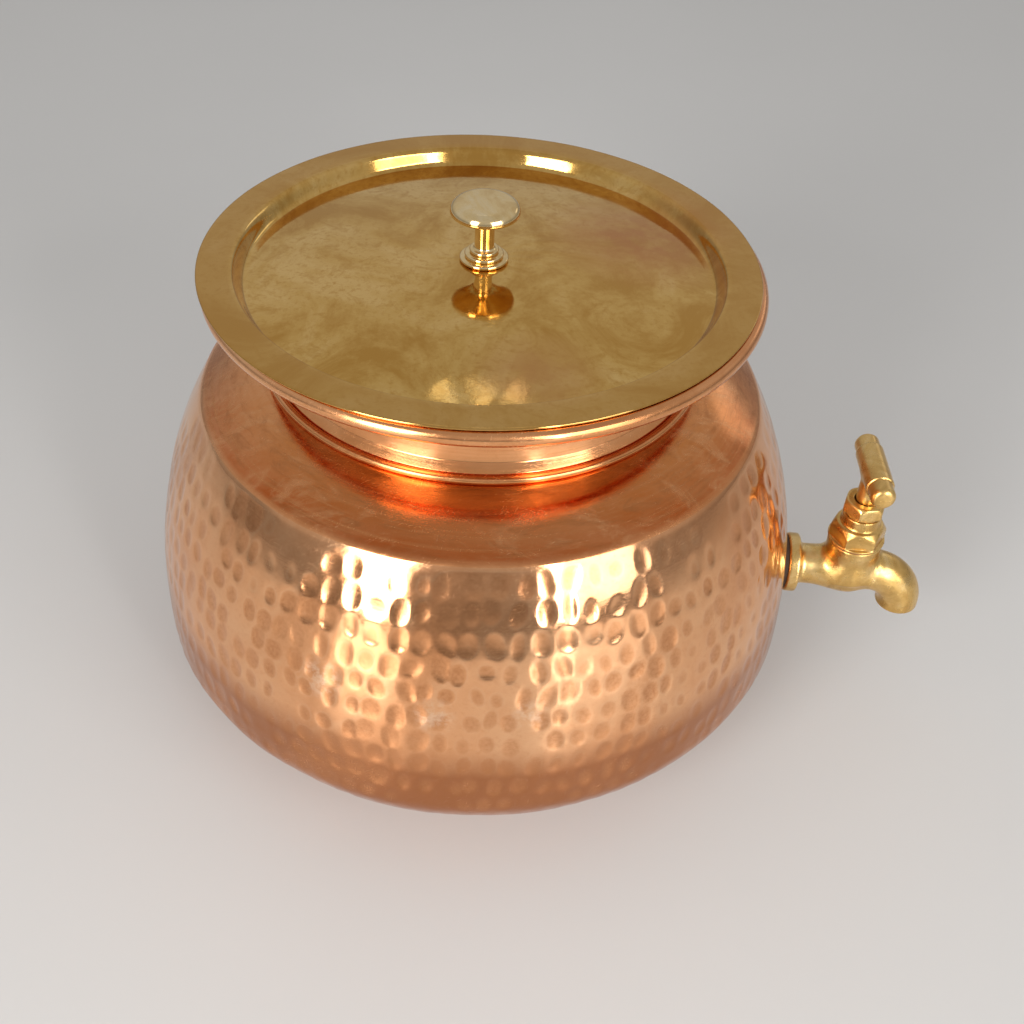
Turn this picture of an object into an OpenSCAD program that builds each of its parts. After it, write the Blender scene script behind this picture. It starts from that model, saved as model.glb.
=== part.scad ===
// Copper water dispenser: a hammered pot with a spun brass lid and a screw-down bib tap.
// Origin: centre of the flat base, on the table. +Z is up and the tap points along +X,
// turned a few degrees towards -Y.

/* [Pot] */
// Outside diameter at the widest line of the belly
belly_d = 300; // [270:1:330]
// Height of the widest line above the table
belly_z = 56; // [48:1:64]
// Diameter of the flat that the pot stands on
base_d = 136; // [110:1:160]
// Power of the curve below the widest line, where 2 is an ellipse
bowl_power = 1.75; // [1.6:0.05:2.2]
// Outside diameter at the crease between belly and shoulder
crease_d = 247; // [225:1:262]
// Height of the crease above the table
crease_z = 168; // [152:1:176]
// Power of the curve from the widest line up to the crease
belly_power = 2.4; // [1.8:0.1:2.8]
// Thickness of the copper sheet
sheet_t = 1.2; // [0.8:0.1:2]
// How far the shoulder laps down inside the belly
seam_lap = 6; // [4:0.5:10]

/* [Shoulder and neck] */
// Outside diameter of the neck at its foot
neck_d = 183; // [170:1:194]
// Height of the shoulder, from the crease to the flat seat under the neck
shoulder_h = 16; // [12:0.5:24]
// Power of the shoulder's curve, where 1 is a plain cone
shoulder_power = 1.25; // [1:0.05:1.8]
// Radius of the bead round the foot of the neck
bead_r = 1.9; // [1.4:0.1:2.6]
// Distance from the neck's outer face to the middle of the bead
bead_out = 2.2; // [1.6:0.1:4]
// How far the neck steps in above its foot
step_in = 3; // [1:0.1:4]
// Height of the top of that step above the seat
step_h = 6.3; // [5:0.1:8]
// How far the neck's waist lies inside its foot
waist_in = 4.5; // [4:0.1:7]
// Height of the waist above the seat
waist_h = 13; // [10:0.5:18]
// Width of the flat seat outside the bead's middle
seat_margin = 1; // [0.6:0.1:2]
// Outside diameter of the rolled rim
rim_d = 235.6; // [225:0.2:246]
// Height of the neck, from its seat to the middle of the rolled rim
neck_h = 38.6; // [32:0.2:48]
// Diameter of the wire inside the rim
wire_d = 4.2; // [3:0.1:5]
// Power of the flare above the waist, where 1 is a plain cone
flare_power = 1.5; // [1.1:0.1:2]

/* [Lid] */
// Thickness of the lid sheet
lid_t = 1.2; // [0.8:0.1:1.8]
// How far the lid's edge lies inside the rim's edge
lid_inset = 0.7; // [0:0.1:2]
// Play between the lid's pan and the mouth, on each side
pan_play = 8; // [5:0.5:12]
// Depth of the pan below the flange, at the foot of its wall
pan_depth = 7.1; // [4:0.1:10]
// How far the pan's wall runs inwards
pan_run = 5; // [3:0.5:8]
// Rise of the pan's floor from the wall to the middle
dome_rise = 6.6; // [3:0.1:9]
// How far the lid lies off the middle of the mouth, left to right
lid_shift_x = -2; // [-3.5:0.1:3.5]
// How far the lid lies off the middle of the mouth, front to back
lid_shift_y = 1.4; // [-3.5:0.1:3.5]

/* [Knob] */
// Diameter of the knob's disc
knob_d = 29; // [22:0.5:40]
// Height of the knob
knob_h = 26.4; // [22:0.2:34]
// Diameter of the knob's stem
knob_stem_d = 8.2; // [7.8:0.1:12]
// Diameter of the knob's foot ring
knob_foot_d = 20.6; // [16:0.2:26]
// Height of each of the three foot rings
knob_ring_h = 1.9; // [1.4:0.1:2.4]
// How far the knob lies off the middle of the lid, left to right
knob_shift = 1; // [-2:0.1:2]
// Diameter of the knob screw
knob_screw_d = 5; // [4:0.5:6]
// Length of the knob screw below its head
knob_screw_l = 16; // [12:0.5:18]
// Thickness of the washer under the lid
knob_washer_t = 1; // [0.6:0.1:2]
// Diameter of the washer under the lid
knob_washer_d = 14; // [11:0.5:18]

/* [Tap body] */
// Turn of the tap about the pot, from +X
tap_turn = -5; // [-20:1:20]
// Height of the tap's axis above the table
tap_z = 73.8; // [66:0.2:90]
// Thickness of the rubber outside the wall
outer_gasket_t = 1.2; // [0.8:0.1:3]
// Diameter of the tap's flange
flange_d = 28.6; // [26:0.2:34]
// Thickness of the tap's flange
flange_t = 5.8; // [3:0.1:7]
// Diameter of the threaded shank through the wall
shank_d = 20.9; // [18:0.1:22]
// Length of the shank behind the flange
shank_l = 21; // [18:0.5:26]
// Diameter of the pipe between flange and barrel
pipe_d = 19.6; // [18:0.2:22]
// Greatest diameter of the barrel
barrel_d = 24.6; // [23:0.2:28]
// Distance from the flange's outer face to the stem's axis
stem_reach = 24.6; // [22:0.2:32]
// Diameter of the upright boss
boss_d = 25.8; // [25:0.2:30]
// Height of the boss above the tap's axis
boss_h = 19.3; // [18:0.1:24]
// Distance from the stem's axis to the start of the bend
bend_reach = 10.8; // [10:0.2:16]
// Radius of the spout's bend, to the middle of the tube
bend_r = 17; // [15:0.5:22]
// Outside diameter of the spout
spout_d = 20.4; // [19:0.2:23]
// Straight length below the bend
spout_end = 2.2; // [1:0.1:8]
// Diameter of the waterway
way_d = 12; // [10:0.2:13]
// Diameter of the outlet at the spout's mouth
outlet_d = 15; // [14:0.1:16]
// Depth of the outlet
outlet_l = 5; // [4:0.1:8]

/* [Valve] */
// Height of the valve seat above the tap's axis
seat_h = 3; // [2.5:0.1:4]
// Diameter of the seat's opening
seat_d = 9; // [8:0.1:9.6]
// Diameter of the chamber above the seat
chamber_d = 16.4; // [15.4:0.1:17.4]
// Thickness of the rubber seat washer
seat_washer_t = 2.2; // [1.6:0.1:3]
// Diameter of the rubber seat washer
seat_washer_d = 12.4; // [11:0.1:13.4]
// Thickness of the jumper's disc
jumper_t = 2; // [1.4:0.1:3]
// Diameter of the jumper's upper stem
jumper_stem_d = 4.2; // [3.4:0.1:4.8]
// Length of the jumper's upper stem
jumper_stem_l = 7; // [5:0.2:9]
// Diameter of the jumper's lower stud
jumper_stud_d = 3; // [2.4:0.1:3.4]
// Width across the corners of the jumper's nut
jumper_nut_d = 6.8; // [6:0.1:7.4]
// Thickness of the jumper's nut
jumper_nut_t = 2; // [1.6:0.1:2.4]

/* [Headworks] */
// Diameter of the headworks' thread in the boss
spigot_d = 20; // [19:0.1:21]
// Depth of the headworks' thread below the top of the boss
spigot_l = 7.6; // [6:0.1:8]
// Thickness of the fibre ring on the boss
fibre_t = 0.8; // [0.5:0.1:1.2]
// Thickness of the round rim under the hexagon
bonnet_rim_t = 0.9; // [0.6:0.1:1.4]
// Width of the headworks' hexagon across its corners
bonnet_hex_d = 26.8; // [25:0.2:30]
// Height of the headworks' hexagon
bonnet_hex_h = 8.6; // [7:0.2:11]
// Diameter of the collar above the hexagon
collar_d = 18.4; // [18:0.2:22]
// Height of the collar
collar_h = 5.9; // [5:0.1:8]
// Diameter of the stuffing box in the collar
stuffing_d = 15.2; // [14.4:0.1:15.8]
// Depth of the stuffing box
stuffing_l = 7.4; // [6.4:0.1:9]
// Thickness of the gland packing
packing_t = 3.4; // [2.4:0.1:4]
// Width of the gland nut across its corners
gland_hex_d = 20.8; // [19.6:0.2:24]
// Height of the gland nut's hexagon
gland_hex_h = 6.3; // [5:0.1:8]
// Thickness of the gland nut's round foot
gland_foot_t = 1.4; // [1:0.1:2]

/* [Spindle and handle] */
// Diameter of the spindle's stem
stem_d = 10; // [9:0.1:10.6]
// Diameter of the spindle's thread
thread_d = 11.4; // [11:0.1:12.4]
// Length of the spindle's thread
thread_l = 13; // [10:0.2:14]
// Height of the T bar's axis above the tap's axis
bar_z = 60.7; // [58:0.1:70]
// Length of the T bar
bar_l = 44; // [38:0.5:60]
// Diameter of the T bar's middle
bar_d = 12.8; // [12:0.1:17]
// Diameter of the T bar's ends
bar_end_d = 11.4; // [10:0.1:12]
// Length of each of the T bar's ends
bar_end_l = 9; // [5:0.2:12]
// Rounding of the T bar's ends
bar_round = 2.6; // [1:0.1:4]
// Turn of the T bar about the spindle with the tap closed, from the spout's line
bar_turn = 94; // [0:1:180]

/* [Fixing inside the pot] */
// Thickness of the rubber inside the wall
inner_gasket_t = 2.4; // [1.6:0.1:3]
// Diameter of the rubber inside the wall
inner_gasket_d = 30; // [28:0.5:34]
// Thickness of the steel washer behind the rubber
back_washer_t = 1.2; // [0.8:0.1:2]
// Diameter of the steel washer
back_washer_d = 32; // [28:0.5:36]
// Width of the back nut across its corners
back_nut_d = 31.2; // [28:0.2:36]
// Thickness of the back nut
back_nut_t = 6; // [4:0.2:8]

/* [Clearances] */
// Clearance of a thread or a turning fit, on the radius
fit_gap = 0.05; // [0.02:0.01:0.1]
// Clearance of a hole round a bolt or a shank, on the radius
hole_gap = 0.3; // [0.2:0.05:0.6]
// Clearance between the lid and the rim
lid_gap = 0.3; // [0.2:0.05:0.5]
// Clearance round the spindle in the gland nut, on the radius
gland_gap = 0.5; // [0.3:0.1:0.8]
// Clearance between faces that meet when the tap is shut
shut_gap = 0.05; // [0.02:0.01:0.1]

/* [Hidden] */
$fn = 120;

copper = [0.78, 0.48, 0.33];
spun_copper = [0.82, 0.55, 0.36];
lid_brass = [0.66, 0.55, 0.28];
bright_brass = [0.87, 0.74, 0.45];
tap_brass = [0.80, 0.62, 0.30];
steel = [0.70, 0.71, 0.73];
rubber = [0.12, 0.12, 0.12];
fibre = [0.55, 0.20, 0.15];

// Points along the curves
bowl_steps = 14;
belly_steps = 12;
shoulder_steps = 8;
flare_steps = 8;
dome_steps = 7;
wall_steps = 6;
barrel_steps = 10;

// Pot, worked out from the sizes above
belly_r = belly_d / 2;
crease_r = crease_d / 2;
bowl_depth = belly_z / pow(1 - pow(base_d / belly_d, bowl_power), 1 / bowl_power);
bowl_angle = asin(pow(belly_z / bowl_depth, bowl_power / 2));
neck_r = neck_d / 2;
neck_z = crease_z + shoulder_h;
rim_z = neck_z + neck_h;
bead_c = neck_r + bead_out;
seat_r = bead_c + seat_margin;
mouth_r = neck_r - sheet_t;
waist_r = neck_r - waist_in;
waist_z = neck_z + waist_h;
roll_r = wire_d / 2 + fit_gap + sheet_t;
roll_c = rim_d / 2 - roll_r;
roll_in = rim_d / 2 - 2 * roll_r;

// Lid and knob, in the lid's own height, which starts at the underside of its flange
lid_z = rim_z + roll_r + lid_gap;
lid_r = rim_d / 2 - lid_inset;
pan_r = roll_in - pan_play;
pan_floor_r = pan_r - pan_run;
pan_floor_z = lid_t - pan_depth;
dome_z = pan_floor_z + dome_rise;
knob_washer_sag = dome_rise * (knob_washer_d / 2 + abs(knob_shift)) / (dome_steps * pan_floor_r);
knob_washer_z = dome_z - lid_t - knob_washer_sag - knob_washer_t;
knob_screw_head_d = knob_screw_d * 1.8;
knob_screw_head_h = knob_screw_d * 0.6;
knob_bore_gap = 2;

// Tap, along its own line from the pot's axis and up from its own axis
wall_x = outer_r(tap_z);
flange_x = wall_x + outer_gasket_t;
pipe_x = flange_x + flange_t;
stem_x = pipe_x + stem_reach;
bend_x = stem_x + bend_reach;
outlet_x = bend_x + bend_r;
mouth_z = -bend_r - spout_end;
inner_wall_x = wall_x - sheet_t;
back_washer_x = inner_wall_x - inner_gasket_t - back_washer_t;
back_nut_x = back_washer_x - back_nut_t;

// Valve and headworks, stacked up from the tap's axis
low_way_d = seat_d;
low_way_z = seat_h - way_d / 4 - low_way_d / 2;
side_way_d = 0.7 * way_d;
side_way_z = seat_h + 0.27 * chamber_d;
spigot_z = boss_h - spigot_l;
ring_z = boss_h;
bonnet_z = ring_z + fibre_t;
hex_z = bonnet_z + bonnet_rim_t;
hex_top_z = hex_z + bonnet_hex_h;
collar_top_z = hex_top_z + collar_h;
stuffing_z = collar_top_z - stuffing_l;
gland_z = collar_top_z + hole_gap;
gland_hex_z = gland_z + gland_foot_t;
gland_top_z = gland_hex_z + gland_hex_h;
gland_spigot_z = stuffing_z + packing_t + 2 * shut_gap;
seat_washer_z = seat_h + shut_gap;
jumper_z = seat_washer_z + seat_washer_t;
jumper_top_z = jumper_z + jumper_t;
spindle_z = jumper_top_z + shut_gap;

// Radius of the belly's outer face at height z
function outer_r(z) = z < belly_z
    ? belly_r * pow(1 - pow((belly_z - z) / bowl_depth, bowl_power), 1 / bowl_power)
    : belly_r - (belly_r - crease_r) * pow((z - belly_z) / (crease_z - belly_z), belly_power);

// One point of the curve below the widest line, from the base edge at a = 0 to the line at a = 1
function bowl_point(a) = [
    belly_r * pow(cos(bowl_angle * (1 - a)), 2 / bowl_power),
    belly_z - bowl_depth * pow(sin(bowl_angle * (1 - a)), 2 / bowl_power)
];

lap_z = crease_z - seam_lap;
belly_path = concat(
    [[0, 0]],
    [for (i = [0 : bowl_steps]) bowl_point(i / bowl_steps)],
    [for (i = [1 : belly_steps]) let (z = belly_z + (lap_z - belly_z) * i / belly_steps) [outer_r(z), z]],
    [[crease_r, crease_z]]
);
shoulder_path = concat(
    [for (i = [0 : shoulder_steps]) let (u = i / shoulder_steps) [
        crease_r + (seat_r - crease_r) * u,
        crease_z + shoulder_h * (1 - pow(1 - u, shoulder_power))
    ]],
    [[mouth_r, neck_z]]
);
neck_path = concat(
    [[neck_r, neck_z], [neck_r, neck_z + 1.6 * bead_r], [neck_r - step_in, neck_z + step_h]],
    [for (i = [0 : flare_steps]) let (v = i / flare_steps) [
        waist_r + (roll_in + sheet_t - waist_r) * pow(v, flare_power),
        waist_z + (rim_z - waist_z) * v
    ]]
);
lid_path = concat(
    [for (i = [0 : dome_steps]) let (q = i / dome_steps) [pan_floor_r * q, dome_z - dome_rise * q * q]],
    [for (i = [1 : wall_steps]) let (q = i / wall_steps) [
        pan_floor_r + pan_run * q,
        pan_floor_z + pan_depth * q * q * (3 - 2 * q)
    ]],
    [[lid_r, lid_t]]
);

// Direction square to a path at its point i, to the left of the way along it
function path_normal(p, i) =
    let (a = p[max(i - 1, 0)], b = p[min(i + 1, len(p) - 1)], d = b - a)
    [-d[1], d[0]] / norm(d);

// A path moved sideways by t, to the left of the way along it, and kept off the far side of the axis
function beside(p, t) = [
    for (i = [0 : len(p) - 1]) let (q = p[i] + t * path_normal(p, i)) [max(q[0], 0), q[1]]
];

function turned_back(p) = [for (i = [len(p) - 1 : -1 : 0]) p[i]];

function last(p, back = 0) = p[len(p) - 1 - back];

// Points on an arc round [x, y] from angle a to angle b
function arc(x, y, r, a, b, steps = 6) =
    [for (i = [0 : steps]) let (t = a + (b - a) * i / steps) [x + r * cos(t), y + r * sin(t)]];

module spin(points) {
    rotate_extrude() polygon(points);
}

// A sheet of thickness t along a path, turned about Z
module spun_sheet(path, t) {
    spin(concat(path, turned_back(beside(path, t))));
}

module ring(d, hole_d, h) {
    difference() {
        cylinder(d = d, h = h);
        translate([0, 0, -1]) cylinder(d = hole_d, h = h + 2);
    }
}

// A hexagon across corners d, its corners cut back by run over the last rise of its top, and a little below
module hexagon(d, h, run, rise) {
    intersection() {
        cylinder(d = d, h = h, $fn = 6);
        spin([[0, 0], [d / 2 - 0.4, 0], [d / 2, 0.3], [d / 2, h - rise], [d / 2 - run, h], [0, h]]);
    }
}

// Place of the tap's own frame: X along the tap, Z up, at the height of its axis
module on_tap() {
    rotate([0, 0, tap_turn]) translate([0, 0, tap_z]) children();
}

// Turns children that stand along Z so that they lie along X from x
module along(x) {
    translate([x, 0, 0]) rotate([0, 90, 0]) children();
}

module on_stem(z) {
    on_tap() translate([stem_x, 0, z]) children();
}

module on_lid() {
    translate([lid_shift_x, lid_shift_y, lid_z]) children();
}

module on_knob(z) {
    on_lid() translate([knob_shift, 0, z]) children();
}

module belly_bowl() {
    color(copper) difference() {
        spun_sheet(belly_path, sheet_t);
        on_tap() along(wall_x - 3 * inner_gasket_t)
            cylinder(d = shank_d + 2 * hole_gap, h = 6 * inner_gasket_t);
    }
}

module shoulder() {
    inside = beside(belly_path, sheet_t);
    lap_inside = beside(belly_path, 2 * sheet_t);
    under = beside(shoulder_path, sheet_t);
    color(spun_copper) spin(concat(
        [last(inside, 1), last(inside)],
        shoulder_path,
        [for (i = [len(under) - 1 : -1 : 1]) i == len(under) - 1 ? [mouth_r, neck_z - sheet_t] : under[i]],
        [last(lap_inside), last(lap_inside, 1)]
    ));
}

module neck_collar() {
    color(spun_copper) rotate_extrude() {
        polygon(concat(neck_path, turned_back(beside(neck_path, sheet_t))));
        translate([mouth_r, neck_z]) square([bead_c - mouth_r, sheet_t]);
        translate([bead_c, neck_z + bead_r]) circle(r = bead_r, $fn = 48);
        translate([roll_c, rim_z]) difference() {
            circle(r = roll_r, $fn = 48);
            circle(r = roll_r - sheet_t, $fn = 48);
        }
    }
}

module rim_wire() {
    color(steel) translate([0, 0, rim_z]) rotate_extrude()
        translate([roll_c, 0]) circle(d = wire_d, $fn = 48);
}

module lid() {
    color(lid_brass) difference() {
        on_lid() spun_sheet(lid_path, -lid_t);
        on_knob(dome_z - 3 * lid_t) cylinder(d = knob_screw_d + 2 * hole_gap, h = 6 * lid_t);
    }
}

module knob() {
    h = knob_ring_h;
    b = h / 2;
    step = (knob_foot_d - knob_stem_d) / 6;
    edge_r = 1.3;
    edge_turn = 60;
    disc_z = knob_h - 3.2;
    under_z = disc_z - edge_r - 1.4;
    color(bright_brass) on_knob(dome_z) difference() {
        spin(concat(
            [[0, 0]],
            arc(knob_foot_d / 2 - b, b, b, -90, 90),
            arc(knob_foot_d / 2 - step - b, h + b, b, -90, 90),
            arc(knob_foot_d / 2 - 2 * step - b, 2 * h + b, b, -90, 90),
            [[knob_stem_d / 2 + 0.3, 3 * h], [knob_stem_d / 2, 3 * h + 1]],
            arc(knob_stem_d / 2 + 1.5, under_z - 1.5, 1.5, 180, 90, 4),
            arc(knob_d / 2 - edge_r, disc_z, edge_r, -1.4 * edge_turn, edge_turn),
            [for (i = [5 : -1 : 0]) let (q = i / 6) [
                (knob_d / 2 - edge_r) * q,
                knob_h - (knob_h - disc_z - edge_r * sin(edge_turn)) * q * q
            ]]
        ));
        translate([0, 0, -1])
            cylinder(
                d = knob_screw_d + 2 * fit_gap,
                h = 1 + knob_screw_l - knob_washer_t - lid_t + knob_bore_gap
            );
    }
}

module knob_washer() {
    color(steel) on_knob(knob_washer_z) ring(knob_washer_d, knob_screw_d + 2 * hole_gap, knob_washer_t);
}

module knob_screw() {
    color(steel) on_knob(knob_washer_z) {
        cylinder(d = knob_screw_d, h = knob_screw_l);
        translate([0, 0, -knob_screw_head_h]) difference() {
            cylinder(d = knob_screw_head_d, h = knob_screw_head_h);
            translate([-knob_screw_head_d, -0.5, -1])
                cube([2 * knob_screw_head_d, 1, 1 + knob_screw_head_h / 2]);
        }
    }
}

// Outside of the tap's casting
module tap_outside() {
    swell = [for (i = [0 : 2 * barrel_steps]) let (q = i / barrel_steps - 1) [
        q < 0 ? stem_x + q * (stem_reach - 0.3 * pipe_d) : stem_x + q * bend_reach,
        (q < 0 ? pipe_d : spout_d) / 2
            + (barrel_d - (q < 0 ? pipe_d : spout_d)) / 2 * (1 + cos(180 * q)) / 2
    ]];
    edge = 0.8;
    along(0) spin(concat(
        [[0, flange_x - shank_l], [shank_d / 2 - edge, flange_x - shank_l],
            [shank_d / 2, flange_x - shank_l + edge], [shank_d / 2, flange_x],
            [flange_d / 2 - edge / 2, flange_x], [flange_d / 2, flange_x + edge / 2]],
        arc(flange_d / 2 - 2 * edge, pipe_x - 2 * edge, 2 * edge, 0, 90, 4),
        [[pipe_d / 2 + edge, pipe_x], [pipe_d / 2, pipe_x + edge]],
        [for (s = swell) [s[1], s[0]]],
        [[0, bend_x]]
    ));
    translate([stem_x, 0, 0]) spin([[0, 0], [boss_d / 2 - 1.2, 0], [boss_d / 2 - 0.8, boss_h / 2],
        [boss_d / 2, boss_h * 0.8], [boss_d / 2, boss_h - 0.4], [boss_d / 2 - 0.4, boss_h], [0, boss_h]]);
    translate([bend_x, 0, -bend_r]) rotate([90, 0, 0])
        rotate_extrude(angle = 90) translate([bend_r, 0]) circle(d = spout_d, $fn = 60);
    translate([outlet_x, 0, mouth_z]) cylinder(d = spout_d, h = spout_end);
}

// Waterways from the shank, under the seat, up through it and out by the spout
module tap_waterways() {
    turn = stem_x - chamber_d / 2 - way_d / 4;
    along(flange_x - shank_l - 1) cylinder(d = way_d, h = turn - flange_x + shank_l + 1);
    translate([0, 0, low_way_z]) along(turn - low_way_d / 2)
        cylinder(d = low_way_d, h = stem_x - turn + low_way_d);
    translate([stem_x, 0, low_way_z]) cylinder(d = seat_d, h = seat_h - low_way_z + 1);
    translate([stem_x, 0, seat_h]) cylinder(d = chamber_d, h = boss_h);
    translate([stem_x, 0, spigot_z]) cylinder(d = spigot_d + 2 * fit_gap, h = boss_h);
    side_from = [stem_x + 0.3 * chamber_d, side_way_z];
    side_to = [bend_x + way_d / 4, -way_d / 24];
    side_run = side_to - side_from;
    translate([side_from[0], 0, side_from[1]]) rotate([0, 90 - atan2(side_run[1], side_run[0]), 0])
        cylinder(d = side_way_d, h = norm(side_run));
    translate([bend_x, 0, -bend_r]) rotate([90, 0, 0])
        rotate_extrude(angle = 90) translate([bend_r, 0]) circle(d = way_d, $fn = 60);
    translate([outlet_x, 0, mouth_z - 1]) cylinder(d = outlet_d, h = outlet_l + 1);
}

module tap_body() {
    color(tap_brass) on_tap() difference() {
        tap_outside();
        tap_waterways();
    }
}

module outer_gasket() {
    color(rubber) difference() {
        on_tap() along(flange_x - flange_d / 5) ring(flange_d - 2, shank_d + 2 * hole_gap, flange_d / 5);
        spin(concat(belly_path, [[0, crease_z]]), $fn = 360);
    }
}

module inner_gasket() {
    color(rubber) intersection() {
        on_tap() along(back_washer_x + back_washer_t)
            ring(inner_gasket_d, shank_d + 2 * hole_gap, 3 * inner_gasket_t);
        spin(concat(beside(belly_path, sheet_t), [[0, crease_z]]), $fn = 360);
    }
}

module back_washer() {
    color(steel) on_tap() along(back_washer_x) ring(back_washer_d, shank_d + 2 * hole_gap, back_washer_t);
}

module back_nut() {
    color(tap_brass) on_tap() along(back_nut_x) difference() {
        mirror([0, 0, 1]) translate([0, 0, -back_nut_t]) hexagon(back_nut_d, back_nut_t, 1.6, 1);
        translate([0, 0, -1]) cylinder(d = shank_d + 2 * fit_gap, h = back_nut_t + 2);
    }
}

module bonnet() {
    color(tap_brass) on_stem(0) difference() {
        union() {
            translate([0, 0, spigot_z]) cylinder(d = spigot_d, h = bonnet_z - spigot_z);
            translate([0, 0, bonnet_z]) cylinder(d = bonnet_hex_d, h = bonnet_rim_t);
            translate([0, 0, hex_z]) hexagon(bonnet_hex_d, bonnet_hex_h, 2.6, 3.4);
            translate([0, 0, hex_top_z]) spin([
                [0, 0], [collar_d / 2 + 1.4, 0], [collar_d / 2 + 0.4, 0.6], [collar_d / 2, 1.6],
                [collar_d / 2, collar_h - 0.5], [collar_d / 2 - 0.5, collar_h], [0, collar_h]
            ]);
        }
        translate([0, 0, spigot_z - 1]) cylinder(d = thread_d + 2 * fit_gap, h = stuffing_z - spigot_z + 2);
        translate([0, 0, stuffing_z]) cylinder(d = stuffing_d + 2 * fit_gap, h = stuffing_l + 1);
    }
}

module bonnet_ring() {
    color(fibre) on_stem(ring_z) ring(boss_d - 0.8, spigot_d + 2 * hole_gap, fibre_t);
}

module gland_packing() {
    color(fibre) on_stem(stuffing_z + shut_gap) ring(stuffing_d, stem_d + 2 * fit_gap, packing_t);
}

module gland_nut() {
    color(tap_brass) on_stem(0) difference() {
        union() {
            translate([0, 0, gland_spigot_z]) cylinder(d = stuffing_d, h = gland_z - gland_spigot_z);
            translate([0, 0, gland_z]) cylinder(d = collar_d - 0.6, h = gland_foot_t);
            translate([0, 0, gland_hex_z]) rotate([0, 0, 12]) hexagon(gland_hex_d, gland_hex_h, 1.6, 2);
        }
        translate([0, 0, gland_spigot_z - 1])
            cylinder(d = stem_d + 2 * gland_gap, h = gland_top_z - gland_spigot_z + 2);
    }
}

module spindle_handle() {
    edge = 0.7;
    half = bar_l / 2;
    step = half - bar_end_l;
    color(tap_brass) on_stem(0) {
        difference() {
            spin([[0, spindle_z], [thread_d / 2 - edge, spindle_z], [thread_d / 2, spindle_z + edge],
                [thread_d / 2, spindle_z + thread_l - edge], [thread_d / 2 - edge, spindle_z + thread_l],
                [stem_d / 2, spindle_z + thread_l], [stem_d / 2, bar_z], [0, bar_z]]);
            translate([0, 0, spindle_z - 1])
                cylinder(d = jumper_stem_d + 2 * fit_gap, h = jumper_stem_l + 2);
        }
        translate([0, 0, bar_z]) rotate([0, 0, bar_turn]) along(0) spin(concat(
            [[0, -half], [bar_end_d / 2 - bar_round, -half]],
            arc(bar_end_d / 2 - bar_round, -half + bar_round, bar_round, -90, 0, 5),
            [[bar_end_d / 2, -step], [bar_d / 2 - edge, -step], [bar_d / 2, -step + edge],
                [bar_d / 2, step - edge], [bar_d / 2 - edge, step], [bar_end_d / 2, step]],
            arc(bar_end_d / 2 - bar_round, half - bar_round, bar_round, 0, 90, 5),
            [[0, half]]
        ));
    }
}

module jumper_valve() {
    stud_z = seat_washer_z - jumper_nut_t;
    color(tap_brass) on_stem(0) {
        translate([0, 0, stud_z]) cylinder(d = jumper_stud_d, h = jumper_z - stud_z);
        translate([0, 0, jumper_z]) cylinder(d = seat_washer_d + 0.4, h = jumper_t);
        translate([0, 0, jumper_top_z]) cylinder(d = jumper_stem_d, h = jumper_stem_l);
    }
}

module seat_washer() {
    color(rubber) on_stem(seat_washer_z) ring(seat_washer_d, jumper_stud_d + 2 * fit_gap, seat_washer_t);
}

module jumper_nut() {
    color(tap_brass) on_stem(seat_washer_z - jumper_nut_t) difference() {
        mirror([0, 0, 1]) translate([0, 0, -jumper_nut_t]) hexagon(jumper_nut_d, jumper_nut_t, 0.4, 0.3);
        translate([0, 0, -1]) cylinder(d = jumper_stud_d + 2 * fit_gap, h = jumper_nut_t + 2);
    }
}

belly_bowl();
shoulder();
neck_collar();
rim_wire();
lid();
knob();
knob_washer();
knob_screw();
tap_body();
outer_gasket();
inner_gasket();
back_washer();
back_nut();
bonnet();
bonnet_ring();
gland_packing();
gland_nut();
spindle_handle();
jumper_valve();
seat_washer();
jumper_nut();
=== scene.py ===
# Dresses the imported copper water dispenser: dimpled copper, spun brass, a cast tap, lights and a camera.
import itertools
import math

import bpy
import numpy as np
from mathutils import Euler, Matrix, Vector


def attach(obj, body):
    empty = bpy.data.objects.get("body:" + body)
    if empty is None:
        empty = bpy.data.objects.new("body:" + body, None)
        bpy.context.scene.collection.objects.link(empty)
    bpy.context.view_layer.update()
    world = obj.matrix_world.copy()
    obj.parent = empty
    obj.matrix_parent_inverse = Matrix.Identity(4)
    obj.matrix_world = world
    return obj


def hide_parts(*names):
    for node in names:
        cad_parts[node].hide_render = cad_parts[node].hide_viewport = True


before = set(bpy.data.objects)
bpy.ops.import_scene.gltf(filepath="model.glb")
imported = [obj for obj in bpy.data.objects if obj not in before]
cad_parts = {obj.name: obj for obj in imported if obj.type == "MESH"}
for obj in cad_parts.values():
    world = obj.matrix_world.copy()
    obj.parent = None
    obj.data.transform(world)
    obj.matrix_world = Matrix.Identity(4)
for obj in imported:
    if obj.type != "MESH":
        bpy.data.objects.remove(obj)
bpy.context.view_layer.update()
MM = 0.001
rng = np.random.default_rng(11)


# Sizes are in millimetres, as in the solids, and heights are from the table unless a comment says not.
# Belly and bottom: two power curves that meet where the belly is widest
BELLY_R = 150.0
BELLY_Z = 56.0
BASE_R = 68.0
CREASE_R = 123.5
CREASE_Z = 168.0
SHEET = 1.2
BELLY_POWER = 2.4
BOWL_POWER = 1.75
BOWL_DEPTH = BELLY_Z / (1 - (BASE_R / BELLY_R) ** BOWL_POWER) ** (1 / BOWL_POWER)

# Crease: rounded from CREASE_CUT below it to a point so far in and up on the shoulder
CREASE_CUT = 2.0
CREASE_IN = 1.81
CREASE_UP = 1.25

# Shoulder: it laps down inside the belly, where the wall measures SHEET / LAP_LEAN on the level
SHOULDER_POWER = 1.25
SEAT_R = 94.7
LAP_DEPTH = 6
LAP_LEAN = 0.87

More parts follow.
